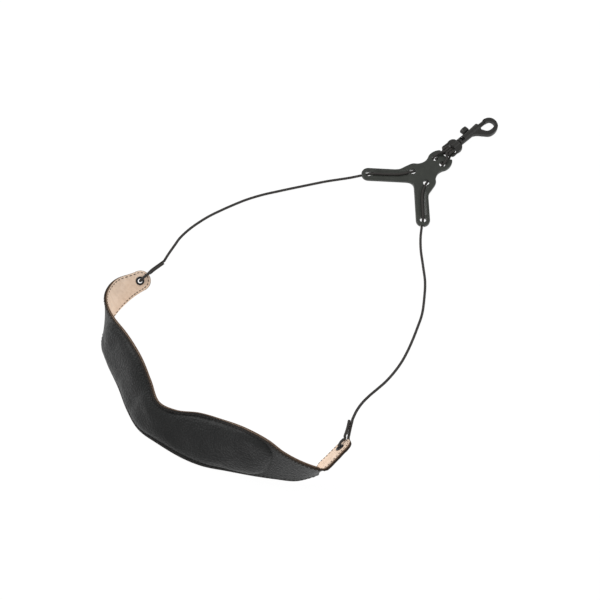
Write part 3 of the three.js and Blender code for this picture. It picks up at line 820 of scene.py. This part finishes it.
def add_band():
    lining = flat(-GAP - LEATHER), flat(-GAP)
    layer("band_lining", "lining_leather", TAN_LEATHER, TAN_EDGE, *lining)
    padded = over_padding(GAP), over_padding(GAP + LEATHER)
    skin = layer("band_skin", "outer_leather", BLACK_LEATHER, EDGE_PAINT, *padded)


def add_foam():
    """The foam inside, which stops a little short of the padding's outline."""
    start, end = band.padding
    short_ends, short_edges = 4, 1.5
    rings = []
    for place_s in np.linspace(start + short_ends, end - short_ends, 120):
        width = float(band.table(band.half, place_s)) - PADDING_MARGIN - short_edges
        y = np.linspace(-width, width, 24)
        high = band.rise(place_s, y) - GAP
        low = np.full_like(y, 0.4)
        high = np.maximum(high, low + 0.05)
        loop = np.array([*zip(y, high), *zip(y[::-1], low)])
        rings.append(band.point(place_s, loop[:, 0], loop[:, 1]))
    made = ring_mesh("band_foam", rings)
    finish_piece(made, FOAM, "neck_pad", "foam", "foam_core")


def seam_line(inset):
    """(s, y) round the band, a distance inside its edge."""
    radius = TAB_RADIUS - inset
    turn = np.radians(np.linspace(-90, 90, 40))
    left = [(TAB_RADIUS - radius * math.cos(t), radius * math.sin(t)) for t in turn]
    along = np.linspace(TAB_RADIUS + 0.5, band.length - TAB_RADIUS - 0.5, 500)
    head = [(s, float(band.half_width(s)) - inset) for s in along]
    right = [(band.length - s, y) for s, y in left[::-1]]
    foot = [(s, -y) for s, y in head[::-1]]
    return np.array(left + head + right + foot)


def stitches(name, depth, bulge, inset=1.9, pitch=3.5, length=2.3, radius=0.38):
    """A row of short raised stitches right round the band, each dipping in at its ends."""
    line = seam_line(inset)
    line = np.vstack([line, line[:1]])
    run = lengths_along(np.column_stack([line, np.zeros(len(line))]))
    count = int(run[-1] // pitch)
    vertices, faces = [], []
    rings, around = 6, 6
    angles = full_turn(around)
    for i in range(count):
        at = np.linspace(0, length, rings) + i * run[-1] / count
        s, y = np.interp(at, run, line[:, 0]), np.interp(at, run, line[:, 1])
        arch = np.sin(np.linspace(0, math.pi, rings))
        core = band.point(s, y, depth + bulge * (0.22 * arch - 0.08))
        thick = radius * (0.45 + 0.55 * arch)[:, None, None]
        first = len(vertices)
        vertices.extend((core[:, None] + thick * rings_round(core, angles)).reshape(-1, 3))
        faces.extend(tuple(first + k for k in face) for face in ring_faces(rings, around))
    return mesh_object(name, np.array(vertices), faces)


def add_seams():
    for name, face in (("seam_lining", -1), ("seam_skin", 1)):
        made = stitches(name, face * (GAP + LEATHER), face)
        finish_piece(made, SEAM_THREAD, "neck_pad", "cord")


def add_eyelet(side):
    """The eyelet's domed flange on the lining, its barrel, and the washer it is rolled over."""
    centre, outward, _, _ = EYELETS[side]
    stack = GAP + LEATHER
    flange = [
        (2.2, 0.2), (2.35, 0.65), (2.75, 0.88), (3.3, 0.88), (3.8, 0.7), (4.1, 0.35), (4.0, 0.28),
        (2.8, 0.28), (2.6, 0),
    ]
    roll = [
        (2.6, 0.95), (3.0, 0.98), (3.4, 1.1), (3.35, 1.3), (3.0, 1.42), (2.5, 1.35), (2.22, 1.0),
    ]
    profile = [(2.2, 0)] + [(r, -stack - d) for r, d in flange] + [(r, stack + d) for r, d in roll]
    barrel = turned(f"{side}_eyelet_ring", profile, centre, outward)
    finish_piece(barrel, EYELET_PAINT, "neck_pad", "black_metal", f"{side}_eyelet")
    ring = [
        (2.9, 0.4), (3.1, 0.3), (3.9, 0.3), (4.12, 0.42), (4.05, 0.6), (3.7, 0.7), (3.1, 0.7),
        (2.9, 0.62),
    ]
    ring = [(r, stack + d) for r, d in ring]
    washer = turned(f"{side}_washer_ring", ring, centre, outward)
    finish_piece(washer, EYELET_PAINT, "neck_pad", "black_metal", f"{side}_washer")


def sewn_pair(side):
    """A side's doubled cord: the eyelet's frame, the step between the strands and the length."""
    centre, outward, pull, on_tab = EYELETS[side]
    inwards = np.array([1.0 if side == "left" else -1.0, 0, 0]) - outward
    beside = unit(inwards - pull * np.dot(inwards, pull)) * (2 * CORD_RADIUS + GAP)
    cord_start = np.asarray(FREE_CORDS[side][0], float)
    doubled = float(np.linalg.norm(cord_start - pull * 2 * GAP - centre))
    return centre, outward, pull, on_tab, beside, doubled


def cord_end_route(side):
    """Down the tab's black side, up through the eyelet and back over the lining."""
    centre, outward, pull, on_tab, beside, doubled = sewn_pair(side)

    def at(direction, distance, depth=0.0, share=0.0):
        return centre + direction * distance + outward * depth + beside * share

    return [
        at(pull, doubled + 1.8 * GAP), at(pull, 0.75 * doubled, 0, -0.4),
        at(pull, 0.54 * doubled, 0.3, -0.7), at(pull, 0.42 * doubled, 1.7, -0.6),
        at(on_tab, 10.8, 2.9, -0.3), at(on_tab, 8, 4.1), at(on_tab, 4, 4.75), at(on_tab, 0.8, 3.7),
        at(on_tab, 0), at(on_tab, 0.8, -3.2), at(on_tab, 4, -4.2), at(on_tab, 8, -3.7, 0.1),
        at(on_tab, 10.6, -2.8, 0.2), at(pull, 0.42 * doubled, -0.1, 0.3),
        at(pull, 0.54 * doubled, -0.3, 0.3), at(pull, 0.75 * doubled, 0, 0.6),
        at(pull, 0.93 * doubled, 0, 0.9),
    ]


def add_lacing(side):
    """The thread that sews a side's two strands together, wound round both."""
    centre, _, pull, _, beside, doubled = sewn_pair(side)
    turns, start, end, radius = 10, 0.5 * doubled, 0.92 * doubled, 0.26
    angle = np.linspace(0, 2 * math.pi * turns, 26 * turns)[:, None]
    wide = beside * (1 - 0.28 / np.linalg.norm(beside))
    high = unit(np.cross(pull, beside)) * (CORD_RADIUS + 0.1)
    run = start + (end - start) * angle / angle[-1]
    middle = beside * np.interp(run / doubled, (0.54, 0.75, 0.93), (-0.2, 0.1, 0.45))
    line = centre + pull * run + middle + wide * np.cos(angle) + high * np.sin(angle)
    made = thread(f"{side}_lacing", line, radius)
    finish_piece(made, SEAM_THREAD, "neck_pad", "cord")


def add_cord_end(side):
    made, _ = braided_cord(f"{side}_cord_sewn_end", cord_end_route(side))
    finish_piece(made, CORD_FIBRE, "neck_pad", "cord", f"{side}_cord_end")


swell_padding()
add_band()
add_foam()
add_seams()
for hand in ("left", "right"):
    add_eyelet(hand)
    add_cord_end(hand)
    add_lacing(hand)

# ---- the yoke and its cords


def on_yoke(points, mirror=1):
    return np.array([(mirror * x, YOKE_Y + y, z) for x, y, z in points])


def loop_route(side):
    """From the nose twice over the eye's bar and back under; side is 1 on the right."""
    ring = EYE_BAR_RADIUS + GAP + CORD_RADIUS + 0.05
    beside = CORD_RADIUS + GAP / 2
    outer = HOOK_X + side * (3 * beside - 0.05)
    inner = HOOK_X + side * beside
    start_x, start_y, start_z = THREADED_CORD[-1]
    route = [
        (side * start_x, start_y + 0.35, start_z + 0.05),
        (0.6 * side * start_x + 0.4 * inner, 69.9, 6.8), (inner, LOOP_START_Y, 7.5),
    ]
    for degrees in range(90, -451, -30):
        angle = math.radians(degrees)
        crossing = min(1, max(0, (-degrees - 135) / 90))
        x = inner + (outer - inner) * crossing**2 * (3 - 2 * crossing)
        beyond = ring * math.cos(angle)
        slack = 1.65 if beyond > 0 else 1
        route.append((x, EYE_BAR_Y + slack * beyond, HOOK_Z + ring * math.sin(angle)))
    last_x, last_y, last_z = CORD_TAIL[0]
    last_x *= side
    route.append((0.6 * outer + 0.4 * last_x, 74.6, last_z))
    route.append((last_x, last_y + 1.4, last_z))
    route.append((last_x, last_y + 0.2, last_z))
    return on_yoke(route)


def add_yoke_cords():
    for side, mirror in (("right", 1), ("left", -1)):
        threaded, _ = braided_cord(f"{side}_cord_threaded", on_yoke(THREADED_CORD, mirror))
        finish_piece(threaded, CORD_FIBRE, "yoke", "cord", f"{side}_threaded_cord")
        tail, _ = braided_cord(f"{side}_cord_tail_end", on_yoke(CORD_TAIL, mirror))
        finish_piece(tail, CORD_FIBRE, "yoke", "cord", f"{side}_cord_tail")
        loop, line = braided_cord(f"{side}_cord_round_bar", loop_route(mirror))
        finish_piece(loop, CORD_FIBRE, None, "cord", f"{side}_cord_loop")
        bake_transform(loop)


def outline_normals(outline):
    """Inward normals of a closed anticlockwise outline."""
    ahead = np.roll(outline, -1, axis=0) - np.roll(outline, 1, axis=0)
    return unit(np.stack([-ahead[:, 1], ahead[:, 0]], axis=1))


def rounded_slab(name, outline, low, high, rounding):
    """A flat part with an outline in x and y, and its top and bottom edges rounded over."""
    outline = np.asarray(outline, float)
    inward = outline_normals(outline)
    steps = [(1, 0), (0.62, 0.08), (0.29, 0.29), (0.08, 0.62), (0, 1)]
    levels = [(inset, low + up * rounding) for inset, up in steps]
    levels += [(inset, high - up * rounding) for inset, up in steps[::-1]]
    rings = [
        np.column_stack([outline + inward * inset * rounding, np.full(len(outline), z)])
        for inset, z in levels
    ]
    return ring_mesh(name, rings)


def yoke_outline():
    """The plate's outline, drawn for the right half and mirrored."""
    hole_x, meeting_y = YOKE_HOLES[0][0], 35.3  # where the arms' middle lines meet
    arm = math.atan2(hole_x, meeting_y)
    side = [(0, 23.3), (1.3, 23.15), (2.6, 22.7), (4.2, 21.7), (6, 20.2)]
    for turn in np.linspace(0, math.pi, 25):
        side.append((hole_x + ARM_RADIUS * math.cos(arm + math.pi + turn),
                     ARM_RADIUS * math.sin(arm + math.pi + turn)))
    side += flat_curve([
        (23.3, 23.2), (20.6, 26.8), (18.7, 33.7), (16.4, 41), (12.1, 45.4), (9.8, 51), (10.2, 56),
        (12.1, 60.8), (12.1, 66), (10.7, 70.2), (8.7, 72.9), (7.6, 73.2), (6.4, 72.2), (4, 71.5),
        (0, 71.5),
    ], 1.0)
    return side + [(-x, y) for x, y in side[-2:0:-1]]


def channel(name, route, radius, up=1):
    """A cutter for a round-bottomed channel along a route, open above, or below with up -1."""
    angles = np.radians(np.linspace(180, 360, 9))
    bottom = [(radius * math.cos(t), up * radius * math.sin(t)) for t in angles]
    outline = [(-radius, up * 6), *bottom, (radius, up * 6)]
    return sweep(name, even_curve(route, 0.8), outline)


def add_yoke_plate():
    outline = [(x, YOKE_Y + y) for x, y in yoke_outline()]
    plate = rounded_slab("yoke_moulding", outline, 0, YOKE_THICKNESS, 0.9)
    cutters = []
    trough_radius, trough_depth, groove_radius = 7.0, 1.35, 1.5
    hole_radius = YOKE_HOLE_RADIUS + 0.1
    for mirror in (1, -1):
        for x, y in YOKE_HOLES:
            centre = (mirror * x, YOKE_Y + y, 0)
            cutters.append(turned("hole", [
                (0, -1), (hole_radius + 0.5, -1), (hole_radius, 1.5), (hole_radius, 6), (0, 6),
            ], centre, (0, 0, 1), 48))
        along = on_yoke(THREADED_CORD[3:12], mirror)
        trough = along[1:-1].copy()
        trough[:, 2] = YOKE_THICKNESS - trough_depth + trough_radius
        cutters.append(channel("trough", trough, trough_radius))
        cutters.append(channel("groove", along + (0, 0, 0.15), groove_radius))
        back_routes = (
            [(44, -8.8, 1.45), (40.4, -3.2, 1.5), (38, 0, 1.6)], THREADED_CORD[11:19],
            [(4.1, 75, 1.45), *CORD_TAIL[:4], (3.7, 61.8, 1.45)],
        )
        for route in back_routes:
            cutters.append(channel("back_groove", on_yoke(route, mirror), groove_radius, -1))
    boolean(plate, cutters)
    rounded(plate, voxel=0.3, smoothing=3)
    finish_piece(plate, GLOSS_PLASTIC, "yoke", "yoke_plastic", "yoke_plate")


HOOK = np.array([HOOK_X, YOKE_Y + HOOK_Y, HOOK_Z])


def hook_rod(name, radius, start, end):
    return rod(name, radius, HOOK + start, HOOK + end, 40)


def add_swivel_eye():
    """A rectangular ring: round bar, thinner rails, and a thick base with a boss for the rivet."""
    bar_y = EYE_BAR_Y - HOOK_Y
    rail_x, rail_radius, base_low, base_high = 6.95, 1.2, -9.4, -0.6
    corner, half_thick, boss_radius = 1.8, 2.1, 3.3
    ring = even_curve([
        (-rail_x, base_low + 1, 0), (-rail_x, bar_y + corner, 0), (-rail_x + 0.3, bar_y + 0.5, 0),
        (-rail_x + corner, bar_y, 0), (rail_x - corner, bar_y, 0), (rail_x - 0.3, bar_y + 0.5, 0),
        (rail_x, bar_y + corner, 0), (rail_x, base_low + 1, 0),
    ], 0.4)
    from_bar = np.clip((ring[:, 1] - bar_y) / 4, 0, 1)
    radius = EYE_BAR_RADIUS + (rail_radius - EYE_BAR_RADIUS) * from_bar
    eye = thread("swivel_ring", HOOK + ring, radius, 24)
    shoulders = [(7.7, base_low), (8.1, -6), (7.3, -3.2), (5.5, -1.2), (3.4, base_high)]
    outline = shoulders + [(-x, y) for x, y in shoulders[::-1]]
    outline = [(x + HOOK[0], y + HOOK[1]) for x, y in outline]
    block = rounded_slab("base", outline, HOOK_Z - half_thick, HOOK_Z + half_thick, 0.4)
    boss = hook_rod("boss", boss_radius, (0, base_low, 0), (0, base_high, 0))
    boolean(eye, [block, boss], "UNION")
    hole = hook_rod("hole", RIVET_HOLE_RADIUS, (0, base_low - 1, 0), (0, base_high + 1, 0))
    boolean(eye, [hole])
    rounded(eye, voxel=0.2, smoothing=3)
    finish_piece(eye, HOOK_PAINT, "swivel_eye", "hook_metal", "swivel_eye")


def add_rivet():
    profile = [
        (0, -10.6), (1.6, -10.55), (2.2, -10.4), (2.5, -10.2), (2.7, -9.9), (2.65, -9.7),
        (1.3, -9.7), (1.3, 2.1), (2.2, 2.1), (2.2, 2.6), (2.1, 2.7), (0, 2.7),
    ]
    made = turned("swivel_pin", profile, HOOK, (0, 1, 0), 40)
    shade_by_angle(made)
    finish_piece(made, HOOK_PAINT, "hook", "hook_metal", "swivel_rivet")


def bow_outline():
    """The hook's bow from the shaft round to its tip, and back along the opening."""
    outer = flat_curve([
        (3.6, 16.5), (5.6, 20), (10.8, 24.6), (15, 28.6), (16.4, 33), (15.9, 38.5), (13.6, 43.2),
        (9, 46.1), (4, 46.4), (0.2, 44.3), (-1.9, 40.6), (-2.4, 37),
    ], 0.6)
    tip = [(-1.3, 37), (0.2, 37)]
    inner = flat_curve([
        (1.8, 37), (2.3, 39.8), (3.6, 42), (6.4, 42.8), (9.8, 41.7), (11.4, 38.4), (11.4, 33.6),
        (10.2, 30.6), (6.4, 28.4), (4.9, 27.8),
    ], 0.6)
    inside_shaft = [(0, 26), (0, 17)]
    points = outer + tip + inner + inside_shaft
    return [(x + HOOK[0], y + HOOK[1]) for x, y in points]


def add_hook_body():
    half_thick = 2.4
    low, high = HOOK_Z - half_thick, HOOK_Z + half_thick
    bow = rounded_slab("hook_casting", bow_outline(), low, high, 0.5)
    shaft = hook_rod("shaft", SHAFT_RADIUS, (0, 0, 0), (0, SHAFT_LENGTH, 0))
    flare = SHAFT_LENGTH - 10.5  # where the shaft starts to widen
    collar = turned("collar", [
        (0, flare), (SHAFT_RADIUS - 0.1, flare),
        (COLLAR_RADIUS, SHAFT_LENGTH - 0.4), (COLLAR_RADIUS - 0.3, SHAFT_LENGTH), (0, SHAFT_LENGTH),
    ], HOOK, (0, 1, 0), 48)
    boolean(bow, [shaft, collar], "UNION")
    end_wall, slot_half = 1.8, 1.7
    slot_back, slot_front = KNOB_ALONG - PLUNGER_TRAVEL - 1.8, KNOB_ALONG + 1.8
    boolean(bow, [
        hook_rod("bore", BORE_RADIUS, (0, end_wall, 0), (0, SHAFT_LENGTH + 1, 0)),
        hook_rod("rivet_hole", RIVET_HOLE_RADIUS, (0, -1, 0), (0, end_wall + 1, 0)),
        box("slot", HOOK + (-6, slot_back, -slot_half), HOOK + (0, slot_front, slot_half)),
        box("window", HOOK + (-2.1, 2.3, 1), HOOK + (2.1, 6.3, 6)),
    ])
    rounded(bow, voxel=0.2, smoothing=4)
    finish_piece(bow, HOOK_PAINT, "hook", "hook_metal", "hook_body")


def add_trigger():
    """The sprung plunger, and the knob on its side that the thumb draws back."""
    reach = 8.2  # past the shaft's end, gate closed
    back, front = KNOB_ALONG - 2, SHAFT_LENGTH + reach
    profile = [
        (0, back), (PLUNGER_RADIUS - 0.3, back), (PLUNGER_RADIUS, back + 0.3),
        (PLUNGER_RADIUS, front - 0.7), (PLUNGER_RADIUS - 0.2, front - 0.25),
        (PLUNGER_RADIUS - 0.7, front), (0, front),
    ]
    plunger = turned("gate_plunger", profile, HOOK, (0, 1, 0), 40)
    socket = hook_rod("socket", STEM_RADIUS + GAP, (-3, KNOB_ALONG, 0), (0, KNOB_ALONG, 0))
    boolean(plunger, [socket])
    shade_by_angle(plunger)
    finish_piece(plunger, HOOK_PAINT, "trigger", "hook_metal", "plunger")
    pad = []
    half_long, half_wide, squareness = 4.2, 2.75, 3
    for turn in full_turn(40):
        along, up = math.cos(turn), math.sin(turn)
        corner = (abs(along) ** squareness + abs(up) ** squareness) ** (-1 / squareness)
        pad.append((half_long * corner * along, half_wide * corner * up))
    levels = [(0.9, -4.2), (0.97, -4.35), (1, -4.9), (1, -8.5), (0.95, -9.1), (0.84, -9.4)]
    rings = [[(x, KNOB_ALONG + size * along, size * up) for along, up in pad] for size, x in levels]
    knob = ring_mesh("thumb_button", HOOK + np.array(rings))
    ribs = [
        hook_rod("rib", 0.35, (-9.5, KNOB_ALONG + along, -4), (-9.5, KNOB_ALONG + along, 4))
        for along in (-2.4, -1.2, 0, 1.2, 2.4)
    ]
    boolean(knob, ribs)
    stem = hook_rod("stem", STEM_RADIUS, (-0.4, KNOB_ALONG, 0), (-7, KNOB_ALONG, 0))
    boolean(knob, [stem], "UNION")
    shade_by_angle(knob)
    finish_piece(knob, HOOK_PAINT, "trigger", "hook_metal", "thumb_knob")


def add_spring():
    """The return spring behind the plunger, seen through the window in the shaft."""
    coils, radius, wire = 5, 2.1, 0.3
    start, end = 3.0, KNOB_ALONG - 2.3
    turn = np.linspace(0, 2 * math.pi * coils, coils * 28)
    along = start + (end - start) * turn / turn[-1]
    line = HOOK + np.stack([radius * np.cos(turn), along, radius * np.sin(turn)], axis=1)
    made = thread("gate_spring", line, wire)
    finish_piece(made, SPRING_WIRE, None, "spring_steel", "return_spring")
    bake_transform(made)


add_yoke_plate()
add_swivel_eye()
add_rivet()
add_hook_body()
add_trigger()
add_spring()
add_yoke_cords()

# ---- floor and light


def add_floor():
    half = 6000.0
    corners = [(-half, -half, 0), (half, -half, 0), (half, half, 0), (-half, half, 0)]
    made = mesh_object("floor", corners, [(0, 1, 2, 3)], smooth=False)
    made.location.z = -0.2 * MM
    look = Look("floor", (0.06, 0.06, 0.06), 0.9, specular=0.1)
    look.set("Emission Color", (1, 1, 1, 1))
    look.set("Emission Strength", 0.97)
    made.data.materials.append(look.material)


def add_light(name, position, energy, size):
    data = bpy.data.lights.new(name, "AREA")
    data.energy = energy
    data.size = size
    light = bpy.data.objects.new(name, data)
    light.location = position
    light.rotation_euler = (-Vector(position)).to_track_quat("-Z", "Y").to_euler()
    bpy.context.scene.collection.objects.link(light)


def add_studio():
    world = bpy.data.worlds.new("studio")
    world.use_nodes = True
    background = world.node_tree.nodes["Background"]
    background.inputs["Color"].default_value = (1, 1, 1, 1)
    background.inputs["Strength"].default_value = 0.42
    bpy.context.scene.world = world
    add_light("key", (-1.6, -0.3, 1.7), 29, 1.4)
    add_light("fill", (1.4, 0.7, 1.4), 12, 1.6)
    bpy.context.scene.view_settings.view_transform = "Standard"


add_floor()
add_studio()
